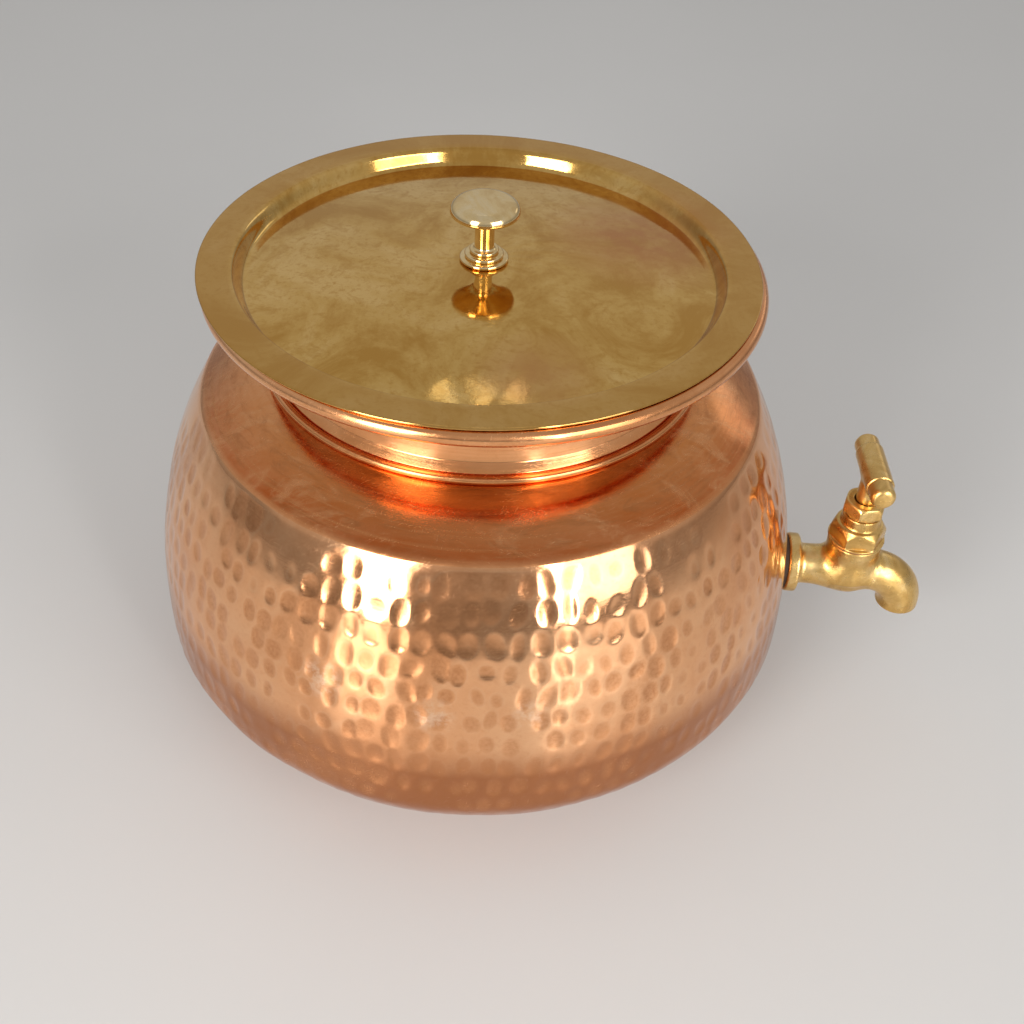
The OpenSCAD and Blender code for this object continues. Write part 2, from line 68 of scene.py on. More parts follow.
# Neck: foot with a bead, step, waist, and a flare up to the roll, whose middle is at ROLL_C and RIM_Z
NECK_R = 91.5
NECK_Z = 184.0
NECK_GAP = 0.02
MOUTH_R = 90.3
BEAD_R = 1.9
BEAD_C = 93.7
FOOT_H = 3.04
STEP_IN = 3.0
STEP_H = 6.3
WAIST_R = 87.0
WAIST_Z = 197.0
FLARE_POWER = 1.5
RIM_Z = 222.6
ROLL_R = 3.35
ROLL_C = 114.45
ROLL_IN = 111.1

# Lid: it lies a little off centre, as in the photograph
LID_XY = np.array([-2.0, 1.4])
LID_Z = 226.25
LID_R = 117.1
LID_T = 1.2
PAN_FLOOR_R = 98.1
PAN_RUN = 5.0
PAN_DEPTH = 7.1
DOME_RISE = 6.6

# Knob: heights are from the lid's dome
KNOB_SHIFT = 1.0
KNOB_RING_H = 1.9
KNOB_FOOT_R = 20.6 / 2
KNOB_STEM_R = 4.1
CAP_FLAT_R = 10.5
CAP_EDGE_R = 4.0
CAP_EDGE_Z = 22.25
CAP_TOP = 26.4
CAP_CROWN = 0.15

# Tap: X is the distance from the pot's middle along the tap; Z, but for TAP_Z, is the height from its axis
TURN = math.radians(-5)
TAP_Z = 73.8
WALL_X = BELLY_R - (BELLY_R - CREASE_R) * ((TAP_Z - BELLY_Z) / (CREASE_Z - BELLY_Z)) ** BELLY_POWER
FLANGE_X = WALL_X + 1.2
PIPE_X = FLANGE_X + 5.8
STEM_X = PIPE_X + 24.6
BEND_X = STEM_X + 10.8
BEND_R = 17.0
OUTLET_X = BEND_X + BEND_R
SHANK_R = 10.45
SHANK_L = 21
SHANK_PITCH = 1.8
SHANK_GROOVE = 0.32
FLANGE_R = 14.3
PIPE_R = 9.8
SPOUT_R = 10.2
SPOUT_LIP = 2.2
SWELL_BACK = 18.7
SWELL_FRONT = 10.8
BOSS_TOP = 19.3
BOSS_SHAPE = ((0, 9.6, 15.4, 19.3), (11.7, 12.1, 12.9, 12.9))

# Waterway and valve chamber
WAY_R = 6
SEAT_BORE = 4.5
CHAMBER_R = 8.2
CHAMBER_Z = 3
SOCKET_R = 10.05
SOCKET_Z = 11.7
SLANT_R = 4.2
SLANT_TOP = (4.92, 7.43)
SLANT_END = (3, -0.5)
MOUTH_BORE = 7.5
MOUTH_H = 5

# Bonnet, gland nut and spindle: a shape is (heights, radii), and a hexagon is measured over its corners
PLUG_R = 10
BONNET_RIM = 13.4
BONNET_NUT = 26.8
BONNET_NUT_Z = (20.6, 29.6)
BONNET_TOP = 35.5
COLLAR_FOOT = 28
COLLAR_SHAPE = ((29.6, 30.2, 31.2, 35.5), (10.4, 9.5, 9.2, 9.2))
THREAD_BORE = 5.75
PACKING_BORE = 7.65
PACKING_Z = 28.1
GLAND_R = 7.6
GLAND_Z = (31.6, 36.2)
GLAND_FOOT_R = 8.9
GLAND_BORE = 5.5
GLAND_NUT = 20.8
GLAND_NUT_Z = (37.1, 43.5)
GLAND_TURN = math.radians(12)
SCREW_R = 5.7
SCREW_Z = (7.3, 20.3)
SCREW_PITCH = 2
SCREW_GROOVE = 0.3
STEM_R = 5
JUMPER_BORE = 2.15
JUMPER_BORE_Z = 15.3
BAR_Z = 60.7
BAR_TOP = 67.2
BAR_R = 6.4
BAR_END_R = 5.7
BAR_MID = 13
BAR_HALF = 22
BAR_TURN = math.radians(94)

# Hammer marks: rows are (distance down from the crease, strength), and half sizes are (mean, spread)
MARK_ROWS = (
    (7.5, 0.6), (20, 0.85), (32, 1), (44, 1), (55.5, 0.95), (67, 1), (79.5, 1),
    (92, 0.95), (104, 0.85), (116, 0.65), (128, 0.5), (140, 0.35), (152, 0.25),
)
MARK_PITCH = 9.6
MARK_MISSING = 0.05
MARK_STRAY = 0.10
MARK_DRIFT = 1.0
MARK_LEAN = 0.10
MARK_HALF_WIDTH = (4.0, 0.35)
MARK_HALF_HEIGHT = (5.7, 0.6)
MARK_DEPTH = 0.38
MARK_RANGE = (0.65, 1.15)
MARK_SEEN = 0.12
INNER_SHARE = 0.8
WAVES = 26
WAVE_DEPTH = 0.03
EVEN_DEPTH = 0.1

# The marks fade out at the crease, round the tap's flange and at the base
CREASE_FADE = 2.5
TAP_CLEAR = 15.0
TAP_FADE = 8.0
BASE_CLEAR = 1.5
BASE_FADE = 14

# How finely the pieces are meshed
COLUMNS = 900
ROW_STEP = 1.1
FINE = 0.42
SPUN_COLUMNS = 360
NECK_COLUMNS = 400
KNOB_COLUMNS = 128


# Mesh helpers
def volume(verts, faces):
    """Signed volume inside a closed mesh of triangles and quads."""
    total = 0.0
    sizes = np.array([len(f) for f in faces])
    for n in (3, 4):
        f = np.array([g for g, k in zip(faces, sizes) if k == n])
        for k in range(1, n - 1) if len(f) else ():
            a, b, c = verts[f[:, 0]], verts[f[:, k]], verts[f[:, k + 1]]
            total += np.einsum("ij,ij->i", a, np.cross(b, c)).sum() / 6
    return total


def make(name, verts, faces, body, node, material, angle=40, marks=None):
    """A smooth closed mesh piece from points in millimetres. It rides on a body and stands for a node.
    Edges sharper than angle in degrees stay sharp, and marks are kept on the points as "mark"."""
    verts = np.asarray(verts, float)
    if volume(verts, faces) < 0:
        faces = [f[::-1] for f in faces]
    me = bpy.data.meshes.new(name)
    me.from_pydata((verts * MM).tolist(), [], faces)
    if marks is not None:
        me.attributes.new("mark", "FLOAT", "POINT").data.foreach_set("value", np.asarray(marks, float))
    me.validate()
    me.shade_smooth()
    me.set_sharp_from_angle(angle=math.radians(angle))
    me.materials.append(material)
    ob = bpy.data.objects.new(name, me)
    bpy.context.scene.collection.objects.link(ob)
    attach(ob, body)
    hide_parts(node)


def lathe(path, columns, shift=(0, 0), field=None):
    """Points and faces of a closed path (r, z) turned about Z. Rows at r = 0 become one point.
    field(row, angles, r, z) may give each row its own r and z round the turn."""
    path = np.asarray(path, float)
    t = np.arange(columns) * 2 * math.pi / columns
    verts, start = [], []
    for i, (r, z) in enumerate(path):
        start.append(len(verts))
        if r < 1e-6:
            verts.append((shift[0], shift[1], z))
            continue
        rr, zz = (r, z) if field is None else field(i, t, r, z)
        rr, zz = np.broadcast_to(rr, t.shape), np.broadcast_to(zz, t.shape)
        verts.extend(zip(shift[0] + rr * np.cos(t), shift[1] + rr * np.sin(t), zz))
    faces = []
    n = len(path)
    for i in range(n):
        a, b = i, (i + 1) % n
        pole_a, pole_b = path[a][0] < 1e-6, path[b][0] < 1e-6
        if pole_a and pole_b:
            continue
        j = np.arange(columns)
        k = (j + 1) % columns
        sa, sb = start[a], start[b]
        if pole_a:
            f = np.stack([np.full(columns, sa), sb + k, sb + j], 1)
        elif pole_b:
            f = np.stack([sa + j, sa + k, np.full(columns, sb)], 1)
        else:
            f = np.stack([sa + j, sa + k, sb + k, sb + j], 1)
        faces.extend(f.tolist())
    return np.array(verts), faces


def arc(x, y, r, a, b, steps=10):
    """Points of an arc about (x, y) from angle a to b in degrees."""
    t = np.radians(np.linspace(a, b, steps + 1))
    return [(x + r * math.cos(q), y + r * math.sin(q)) for q in t]


def rounded(points, radii, steps=5):
    """A path with the corners that have a radius turned into arcs."""
    out = []
    n = len(points)
    for i, p in enumerate(points):
        p = np.array(p, float)
        if radii[i] <= 0 or i in (0, n - 1):
            out.append(tuple(p))
            continue
        a, b = np.array(points[i - 1], float) - p, np.array(points[i + 1], float) - p
        la, lb = np.linalg.norm(a), np.linalg.norm(b)
        a, b = a / la, b / lb
        half = math.acos(max(-1, min(1, a @ b))) / 2
        cut = min(radii[i] / math.tan(half), la * 0.5, lb * 0.5)
        for q in np.linspace(0, 1, steps + 1):
            out.append(tuple(p + a * cut * (1 - q) ** 2 + b * cut * q**2))
    return out


def resample(path, step):
    """The path with points at even distances, and the distance of each from the start."""
    p = np.asarray(path, float)
    s = np.concatenate([[0], np.cumsum(np.linalg.norm(np.diff(p, axis=0), axis=1))])
    t = np.linspace(0, s[-1], max(2, int(round(s[-1] / step)) + 1))
    return np.stack([np.interp(t, s, p[:, 0]), np.interp(t, s, p[:, 1])], 1), t


def normals(p):
    """Unit normals to the left of the way along a path."""
    d = np.gradient(np.asarray(p, float), axis=0)
    d /= np.linalg.norm(d, axis=1)[:, None]
    return np.stack([-d[:, 1], d[:, 0]], 1)


def outer_r(z):
    """The belly's outer radius at a height."""
    if z < BELLY_Z:
        return BELLY_R * (1 - ((BELLY_Z - z) / BOWL_DEPTH) ** BOWL_POWER) ** (1 / BOWL_POWER)
    return BELLY_R - (BELLY_R - CREASE_R) * ((z - BELLY_Z) / (CREASE_Z - BELLY_Z)) ** BELLY_POWER


# Materials
class Nodes:
    """Short calls for a node material."""

    def __init__(self, name):
        self.mat = bpy.data.materials.new(name)
        self.mat.use_nodes = True
        self.t = self.mat.node_tree
        self.bsdf = self.t.nodes["Principled BSDF"]
        self.coord = self.t.nodes.new("ShaderNodeTexCoord").outputs["Object"]

    def link(self, a, b):
        self.t.links.new(a, b)

    def scaled(self, sx, sy, sz, turn=0.0):
        """Coordinates scaled along each axis and turned about Z."""
        m = self.t.nodes.new("ShaderNodeMapping")
        m.inputs["Scale"].default_value = (sx, sy, sz)
        m.inputs["Rotation"].default_value = (0, 0, turn)
        self.link(self.coord, m.inputs["Vector"])
        return m.outputs[0]

    def stretched(self, along, across, turn):
        """Coordinates turned first and then stretched, for short marks that lie aslant."""
        m = self.t.nodes.new("ShaderNodeMapping")
        m.vector_type = "TEXTURE"
        m.inputs["Scale"].default_value = (along, across, along * 0.4)
        m.inputs["Rotation"].default_value = turn
        self.link(self.coord, m.inputs["Vector"])
        return m.outputs[0]

    def noise(self, scale, detail=4, rough=0.5, vector=None, distort=0.0):
        """Noise from 0 to 1, scale to the metre."""
        n = self.t.nodes.new("ShaderNodeTexNoise")
        n.inputs["Scale"].default_value = scale
        n.inputs["Detail"].default_value = detail
        n.inputs["Roughness"].default_value = rough
        n.inputs["Distortion"].default_value = distort
        self.link(vector or self.coord, n.inputs["Vector"])
        return n.outputs["Fac"]

    def ramp(self, fac, *stops):
        """A colour ramp of stops (position, colour or grey level)."""
        r = self.t.nodes.new("ShaderNodeValToRGB")
        e = r.color_ramp.elements
        while len(e) < len(stops):
            e.new(0.5)
        for el, (p, c) in zip(e, stops):
            el.position = p
            el.color = (*c, 1) if len(np.shape(c)) else (c, c, c, 1)
        self.link(fac, r.inputs[0])
        return r.outputs[0]

    def range(self, fac, a, b, c, d):
        """fac from a to b mapped to c to d and held there."""
        m = self.t.nodes.new("ShaderNodeMapRange")
        for i, v in enumerate((a, b, c, d)):
            m.inputs[i + 1].default_value = v
        self.link(fac, m.inputs[0])
        return m.outputs[0]

    def math(self, op, a, b=None):
        """A math node on one or two values, each a number or a socket."""
        m = self.t.nodes.new("ShaderNodeMath")
        m.operation = op
        for i, v in enumerate((a, b)):
            if v is None:
                continue
            if isinstance(v, (int, float)):
                m.inputs[i].default_value = v
            else:
                self.link(v, m.inputs[i])
        return m.outputs[0]

    def plus(self, a, b):
        return self.math("ADD", a, b)

    def times(self, first, *others):
        for other in others:
            first = self.math("MULTIPLY", first, other)
        return first

    def highest(self, values):
        """The highest of some sockets at each point."""
        top = None
        for one in values:
            top = one if top is None else self.math("MAXIMUM", top, one)
        return top

    def mix(self, fac, a, b):
        """From colour a to colour b by fac; each may be a socket."""
        m = self.t.nodes.new("ShaderNodeMix")
        m.data_type = "RGBA"
        for i, v in ((0, fac), (6, a), (7, b)):
            if isinstance(v, (int, float)):
                m.inputs[i].default_value = v
            elif isinstance(v, tuple):
                m.inputs[i].default_value = (*v, 1)
            else:
                self.link(v, m.inputs[i])
        return m.outputs[2]

    def spot(self, place, radius, soft, vector=None):
        """1 within radius of a place in metres, falling to 0 over a soft edge."""
        v = self.t.nodes.new("ShaderNodeVectorMath")
        v.operation = "DISTANCE"
        self.link(vector or self.coord, v.inputs[0])
        v.inputs[1].default_value = place
        return self.range(v.outputs["Value"], radius, radius + soft, 1, 0)

    def along(self, axis):
        """The distance from the origin along X, Y or Z in metres."""
        s = self.t.nodes.new("ShaderNodeSeparateXYZ")
        self.link(self.coord, s.inputs[0])
        return s.outputs[axis]

    def mark(self):
        """Depth of the hammer marks, from 0 to 1, kept on the mesh."""
        a = self.t.nodes.new("ShaderNodeAttribute")
        a.attribute_name = "mark"
        return a.outputs["Fac"]

    def bump(self, *layers):
        """Layers of (height, strength, distance in metres), one on another."""
        last = None
        for height, strength, distance in layers:
            b = self.t.nodes.new("ShaderNodeBump")
            b.inputs["Strength"].default_value = strength
            b.inputs["Distance"].default_value = distance
            self.link(height, b.inputs["Height"])
            if last:
                self.link(last, b.inputs["Normal"])
            last = b.outputs[0]
        self.link(last, self.bsdf.inputs["Normal"])

    def done(self, color, rough, metal=1.0):
        """Colour and roughness go to the shader, and the material is returned."""
        self.link(color, self.bsdf.inputs["Base Color"])
        self.link(rough, self.bsdf.inputs["Roughness"])
        self.bsdf.inputs["Metallic"].default_value = metal
        return self.mat


# Copper: turns of the hair scratches, pale stains of the belly as (place, radius) in metres, and wear
# colours; the foot's brown and the shoulder's tarnish colours also carry painted shade
SCRATCHES = ((0.6, 0.3, 0.8), (-0.9, 0.5, 2.1), (1.3, -0.7, -0.4), (0.2, 1.2, 1.5))
SCRATCH_LENGTH = 0.0065
SCRATCH_WIDTH = 0.00042
STAINS = (
    ((-0.015, -0.145, 0.107), 0.004),
    ((0.023, -0.144, 0.108), 0.003),
    ((-0.060, -0.131, 0.112), 0.005),
)
SCRATCH_PALE = (0.96, 0.64, 0.42)
STAIN_PALE = (0.98, 0.70, 0.50)
LIP_PALE = (0.96, 0.60, 0.35)
# Painted shade in part: the foot's brown is tarnish and also stands in for the dark reflection of the
# shadowed floor under the pot
FOOT_TARNISH_AND_SHADE = (0.44, 0.168, 0.068)
CUP_BROWN = (0.62, 0.27, 0.115)
CREASE_BROWN = (0.57, 0.125, 0.024)
NECK_ORANGE = (0.70, 0.25, 0.068)
WIPED_GOLD = (0.84, 0.43, 0.20)
DIRT_BROWN = (0.48, 0.18, 0.062)


def hammered_wear_and_shade(n, col, rough):
    """A browner foot, partly tarnish and partly painted shade, dull cups with pale lips, and stains.
    Returns colour and roughness.
    """
    # Painted shade: the band below about 74 to 92 mm is browned, partly as tarnish and partly for the dark
    # reflection of the shadowed floor
    foot = n.range(n.along("Z"), 0.074, 0.092, 0.9, 0)
    col = n.mix(foot, col, FOOT_TARNISH_AND_SHADE)
    rough = n.plus(rough, n.times(foot, 0.06))
    grain = n.range(n.noise(620, 5, 0.7), 0.40, 0.62, 0.55, 1)
    worn = n.range(n.noise(30, 3, 0.5), 0.40, 0.60, 0.6, 1)
    cup = n.times(n.range(n.mark(), 0.0, 0.6, 0, 0.95), grain, worn)
    col = n.mix(cup, col, CUP_BROWN)
    edge = n.ramp(n.mark(), (0.0, 0.3), (0.08, 1), (0.3, 0))
    lip = n.times(edge, n.math("SUBTRACT", 0.85, foot), worn, 0.35)
    col = n.mix(lip, col, LIP_PALE)
    rough = n.plus(rough, n.times(cup, 0.05))
    spots = n.highest([n.spot(place, radius, 0.006) for place, radius in STAINS])
    pale = n.times(spots, n.range(n.noise(230, 5, 0.7), 0.45, 0.60, 0, 1))
    col = n.mix(n.times(pale, 0.55), col, STAIN_PALE)
    return col, n.plus(rough, n.times(pale, 0.04))


def spun_wear_and_shade(n, col, rough, ring, dark):
    """Deep tarnish on the shoulder, with painted shade that makes it heavier on the front side, wiped and
    dirty in streaks, and fine rings everywhere.
    """
    streak = n.noise(1.0, 4, 0.6, n.scaled(14, 60, 90))
    below_neck = n.range(n.along("Z"), 0.184, 0.190, 1, 0)
    shoulder = n.times(below_neck, n.range(n.along("Z"), 0.1678, 0.1698, 0, 1))
    # Painted shade: the tarnish is full on the front of the shoulder and falls to 0.35 of it towards the
    # back
    front_shade = n.range(n.along("Y"), -0.10, 0.02, 1, 0.35)
    deep = n.times(shoulder, front_shade, n.range(streak, 0.36, 0.62, 0.6, 1))
    height = n.range(n.along("Z"), 0.170, 0.181, 0, 1)
    col = n.mix(deep, col, n.ramp(height, (0, CREASE_BROWN), (1, NECK_ORANGE)))
    wiped = n.noise(1.0, 6, 0.7, n.scaled(16, 46, 60, 0.5), 2.5)
    col = n.mix(n.times(shoulder, n.range(wiped, 0.50, 0.64, 0, 0.5)), col, WIPED_GOLD)
    dirt = n.noise(1.0, 6, 0.72, n.scaled(30, 50, 260), 1.2)
    col = n.mix(n.times(shoulder, n.range(dirt, 0.50, 0.66, 0, 0.6)), col, DIRT_BROWN)
    rough = n.plus(rough, n.range(wiped, 0.45, 0.65, 0, 0.09))
    col = n.mix(n.range(ring, 0.50, 0.68, 0, 0.6), col, dark)
    return col, n.plus(rough, n.range(ring, 0.45, 0.70, 0, 0.10))


def copper_material(name, base, dark, warm, rough, spin, hammered):
    """Polished copper: soft clouds, small orange specks, fine scratches and dull patches."""
    n = Nodes(name)
    col = n.ramp(n.noise(8, 5, 0.6), (0.34, dark), (0.5, base), (0.66, warm))
    blotch = n.noise(38, 4, 0.6, None, 0.5)
    col = n.mix(n.range(blotch, 0.5, 0.72, 0, 0.5), col, dark)
    speck = n.noise(420, 5, 0.7)
    col = n.mix(n.range(speck, 0.52, 0.66, 0, 0.35), col, dark)
    ring = n.noise(1.0, 4, 0.6, n.scaled(*spin))
    hairs = (n.stretched(SCRATCH_LENGTH, SCRATCH_WIDTH, turn) for turn in SCRATCHES)
    fine = n.highest([n.noise(1.0, 1.5, 0.5, hair, 0.3) for hair in hairs])
    rough_map = n.range(n.noise(26, 5, 0.62), 0.36, 0.68, rough[0], rough[1])
    rough_map = n.plus(rough_map, n.range(fine, 0.62, 0.78, 0, 0.10))
    if hammered:
        col, rough_map = hammered_wear_and_shade(n, col, rough_map)
    else:
        col, rough_map = spun_wear_and_shade(n, col, rough_map, ring, dark)
    col = n.mix(n.range(fine, 0.68, 0.80, 0, 0.15), col, SCRATCH_PALE)
    n.bump((ring, 0.05, 0.0003), (fine, 0.03, 0.0002), (speck, 0.05, 0.0002))
    return n.done(col, rough_map)


def brass_material(
    name, base, dark, warm, rough, spots, scale, spin=None, bump=0.05, patches=(), rim=None
):
    """Brass with clouds and fine dark spots. patches are round places that have turned brown, each as
    (place, radius, soft edge, brown), and outside rim, (place, radius, brown), all of it is browner."""
    n = Nodes(name)
    cloud = n.noise(scale, 7, 0.66, None, 1.0)
    fine = n.noise(scale * 22, 3, 0.6)
    col = n.ramp(cloud, (0.38, dark), (0.5, base), (0.62, warm))
    mottle = n.noise(scale * 4, 6, 0.7, None, 1.5)
    col = n.mix(n.range(mottle, 0.52, 0.66, 0, spots), col, dark)
    col = n.mix(n.range(fine, 0.52, 0.72, 0, spots), col, dark)
    if rim:
        place, radius, brown = rim
        inside = n.spot(place, radius, 0.003, n.scaled(1, 1, 0))
        col = n.mix(n.times(n.math("SUBTRACT", 1.0, inside), 0.6), col, brown)
    for place, radius, soft, brown in patches:
        uneven = n.range(n.noise(90, 5, 0.6), 0.3, 0.6, 0.4, 0.9)
        col = n.mix(n.times(n.spot(place, radius, soft), uneven), col, brown)
    r = n.range(n.noise(scale * 2.3, 5, 0.6), 0.35, 0.7, rough[0], rough[1])
    layers = [(fine, bump, 0.0003)]
    if spin:
        ring = n.noise(1.0, 3, 0.6, n.scaled(*spin))
        r = n.plus(r, n.range(ring, 0.5, 0.7, 0, 0.06))
        layers.append((ring, bump, 0.0003))
    n.bump(*layers)
    return n.done(col, r)


def plain_material(name, base, dark, rough, metal, scale, bump):
    """A grained material for steel, rubber and fibre."""
    n = Nodes(name)
    fine = n.noise(scale, 4, 0.6)
    col = n.ramp(fine, (0.35, dark), (0.65, base))
    n.bump((fine, bump, 0.0002))
    uneven = n.noise(scale / 6, 3, 0.5)
    return n.done(col, n.range(uneven, 0.35, 0.7, rough[0], rough[1]), metal)


LID_CENTRE = (LID_XY[0] * MM, LID_XY[1] * MM, 0)
LID_PATCHES = (
    ((0.066, 0.031, 0.223), 0.012, 0.034, (0.58, 0.25, 0.085)),
    ((0.02, -0.075, 0.222), 0.006, 0.024, (0.62, 0.32, 0.11)),
)
HAMMERED = copper_material(
    "hammered_copper",
    base=(0.90, 0.455, 0.225), dark=(0.76, 0.33, 0.14), warm=(0.93, 0.52, 0.28),
    rough=(0.08, 0.17), spin=(20, 20, 900), hammered=True,
)
SPUN = copper_material(
    "spun_copper",
    base=(0.88, 0.42, 0.19), dark=(0.70, 0.29, 0.11), warm=(0.92, 0.50, 0.26),
    rough=(0.09, 0.20), spin=(14, 14, 1400), hammered=False,
)
LID = brass_material(
    "lid_brass",
    base=(0.73, 0.45, 0.135), dark=(0.58, 0.31, 0.070), warm=(0.82, 0.54, 0.20),
    rough=(0.045, 0.125), spots=0.6, scale=19, bump=0.04,
    patches=LID_PATCHES, rim=(LID_CENTRE, 0.1015, (0.56, 0.30, 0.08)),
)
KNOB = brass_material(
    "knob_brass",
    base=(0.87, 0.65, 0.33), dark=(0.76, 0.53, 0.24), warm=(0.90, 0.72, 0.43),
    rough=(0.08, 0.16), spots=0.3, scale=60, spin=(60, 60, 2200), bump=0.03,
)
TAP = brass_material(
    "tap_brass",
    base=(0.80, 0.52, 0.185), dark=(0.66, 0.40, 0.125), warm=(0.87, 0.61, 0.27),
    rough=(0.24, 0.35), spots=0.4, scale=55,
)
STEEL = plain_material(
    "steel", base=(0.62, 0.62, 0.64), dark=(0.45, 0.45, 0.47),
    rough=(0.22, 0.38), metal=1.0, scale=900, bump=0.05,
)
RUBBER = plain_material(
    "rubber", base=(0.075, 0.042, 0.024), dark=(0.040, 0.022, 0.013),
    rough=(0.6, 0.8), metal=0.0, scale=1400, bump=0.15,
)
FIBRE = plain_material(
    "packing", base=(0.33, 0.10, 0.06), dark=(0.20, 0.055, 0.035),
    rough=(0.6, 0.85), metal=0.0, scale=2600, bump=0.3,
)

# The CAD solids that stay as they are get these materials
for node, material in {
    "rim_wire": STEEL, "knob_washer": STEEL, "knob_screw": STEEL, "back_washer": STEEL,
    "outer_gasket": RUBBER, "inner_gasket": RUBBER, "seat_washer": RUBBER,
    "bonnet_ring": FIBRE, "gland_packing": FIBRE,
    "back_nut": TAP, "jumper_valve": TAP, "jumper_nut": TAP,
}.items():
    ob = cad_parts[node]
    ob.data.materials.clear()
    ob.data.materials.append(material)


# Belly, with its hammer marks
def hammer_field(s, r, columns):
    """Depth of the hammer marks over rows at distance s from the crease and radius r, in millimetres."""
    depth = np.zeros((len(s), columns))
    theta = np.arange(columns) * 2 * math.pi / columns
    for row, strong in MARK_ROWS:
        radius = np.interp(row, s, r)
        count = int(round(2 * math.pi * radius / MARK_PITCH))
        phase = rng.uniform(0, 1)
        for k in range(count):
            if rng.uniform() < MARK_MISSING:
                continue
            t0 = 2 * math.pi * (k + phase + rng.normal(0, MARK_STRAY)) / count
            s0 = row + rng.normal(0, MARK_DRIFT)
            half_w = rng.normal(*MARK_HALF_WIDTH)
            half_h = rng.normal(*MARK_HALF_HEIGHT)
            deep = MARK_DEPTH * strong * rng.uniform(*MARK_RANGE)
            lean = rng.normal(0, MARK_LEAN)
            i0, i1 = np.searchsorted(s, s0 - half_h - 1), np.searchsorted(s, s0 + half_h + 1)
            if i1 <= i0:
                continue
            span = int(math.ceil((half_w + 1.5) / radius / (2 * math.pi) * columns))
            j0 = int(round(t0 / (2 * math.pi) * columns))
            j = np.arange(j0 - span, j0 + span + 1)
            dx = (j * 2 * math.pi / columns - t0) * radius
            dy = s[i0:i1, None] - s0
            x = (dx[None] + lean * dy) / half_w
            y = dy / half_h
            q = 1 - (x**2 + np.abs(y) ** 2.3)
            cup = deep * np.clip(q, 0, 1) * (1 + 0.35 * y)
            block = depth[i0:i1][:, j % columns]
            depth[i0:i1, j % columns] = np.maximum(block, cup)
    # Long soft waves of a hand-raised sheet
    for _ in range(WAVES):
        f, g = rng.integers(2, 22), rng.uniform(0.01, 0.09)
        depth += WAVE_DEPTH * np.cos(f * theta[None] + g * s[:, None] + rng.uniform(0, 6.28))
    top = np.clip(s / CREASE_FADE, 0, 1)[:, None]
    return np.maximum(depth + EVEN_DEPTH, 0) * top


def tap_fade(z, theta, r):
    """0 at the tap's flange and 1 away from it."""
    across = r * np.sin(theta - TURN)
    far = np.where(np.cos(theta - TURN) > 0, np.hypot(across, z - TAP_Z), 99)
    q = np.clip((far - TAP_CLEAR) / TAP_FADE, 0, 1)
    return q * q * (3 - 2 * q)


def shoulder_curve(n=60):
    """The shoulder's outside from the crease to the neck's seat."""
    rise = NECK_Z - CREASE_Z
    return [
        (CREASE_R + (SEAT_R - CREASE_R) * u, CREASE_Z + rise * (1 - (1 - u) ** SHOULDER_POWER))
        for u in np.linspace(0, 1, n)
    ]


def crease_arc(half):
    """The rounded crease: half 0 is the lower, which ends the belly, and half 1 starts the shoulder."""
    a = np.array([outer_r(CREASE_Z - CREASE_CUT), CREASE_Z - CREASE_CUT])
    k = np.array([CREASE_R, CREASE_Z])
    b = np.array([CREASE_R - CREASE_IN, CREASE_Z + CREASE_UP])
    q = np.linspace(0, 0.5, 6) if half == 0 else np.linspace(0.5, 1, 6)
    return [tuple(a * (1 - t) ** 2 + 2 * k * t * (1 - t) + b * t * t) for t in q]


# The wall runs from the crease down to the edge of the base; away points out of the pot
bowl = [(outer_r(z), z) for z in BELLY_Z * (1 - np.cos(np.linspace(0, math.pi / 2, 60)))]
upper = [(outer_r(z), z) for z in np.linspace(BELLY_Z, CREASE_Z - CREASE_CUT, 90)[1:-1]]
base = rounded([(BASE_R - 1.5, 0.0), (BASE_R, 0.0), bowl[3]], [0, 2, 0])
wall, s_up = resample(base + bowl[4:] + upper + crease_arc(0), ROW_STEP)
wall = wall[::-1]
away = normals(wall)
marks = hammer_field(s_up[-1] - s_up[::-1], wall[:, 0], COLUMNS)
theta = np.arange(COLUMNS) * 2 * math.pi / COLUMNS
for i, (r, z) in enumerate(wall):
    marks[i] *= tap_fade(z, theta, r)
    marks[i] *= min(1, max(0, (z - BASE_CLEAR) / BASE_FADE))

inner = wall - SHEET * away
inner[:, 1] = np.clip(inner[:, 1], SHEET, None)
inner_rows = np.arange(0, len(wall), 3)[::-1]


def belly_row(i, t, r, z):
    """Rows of the belly's path: outside they are dented by the marks, and inside by a share of them."""
    if i < len(wall):
        row, share = i, 1
    else:
        row, share = inner_rows[i - len(wall) - 2], INNER_SHARE
    return r - share * marks[row] * away[row][0], z - share * marks[row] * away[row][1]


path = [tuple(p) for p in wall] + [(0.0, 0.0), (0.0, SHEET)] + [tuple(inner[m]) for m in inner_rows]
v, f = lathe(path, COLUMNS, field=belly_row)
depths = np.zeros(len(v))
depths[: marks.size] = np.clip((marks.ravel() - MARK_SEEN) / MARK_DEPTH, 0, 1)
make("belly_hammered", v, f, "pot", "belly_bowl", HAMMERED, 60, depths)


# Shoulder, neck with its roll, lid and knob
def wobble(size, seed):
    """Small waves of a spun sheet, about size millimetres high, as a field for lathe."""
    g = np.random.default_rng(seed)
    waves = [
        (int(g.integers(2, 14)), g.uniform(0, 6.28), g.uniform(0.02, 0.2), g.normal(0, 1))
        for _ in range(10)
    ]

    def field(i, t, r, z):
        w = sum(a * np.cos(n * t + p + c * (r + z)) for n, p, c, a in waves) * size / 4
        return r - np.abs(w) * 0.3, z - np.abs(w)

    return field


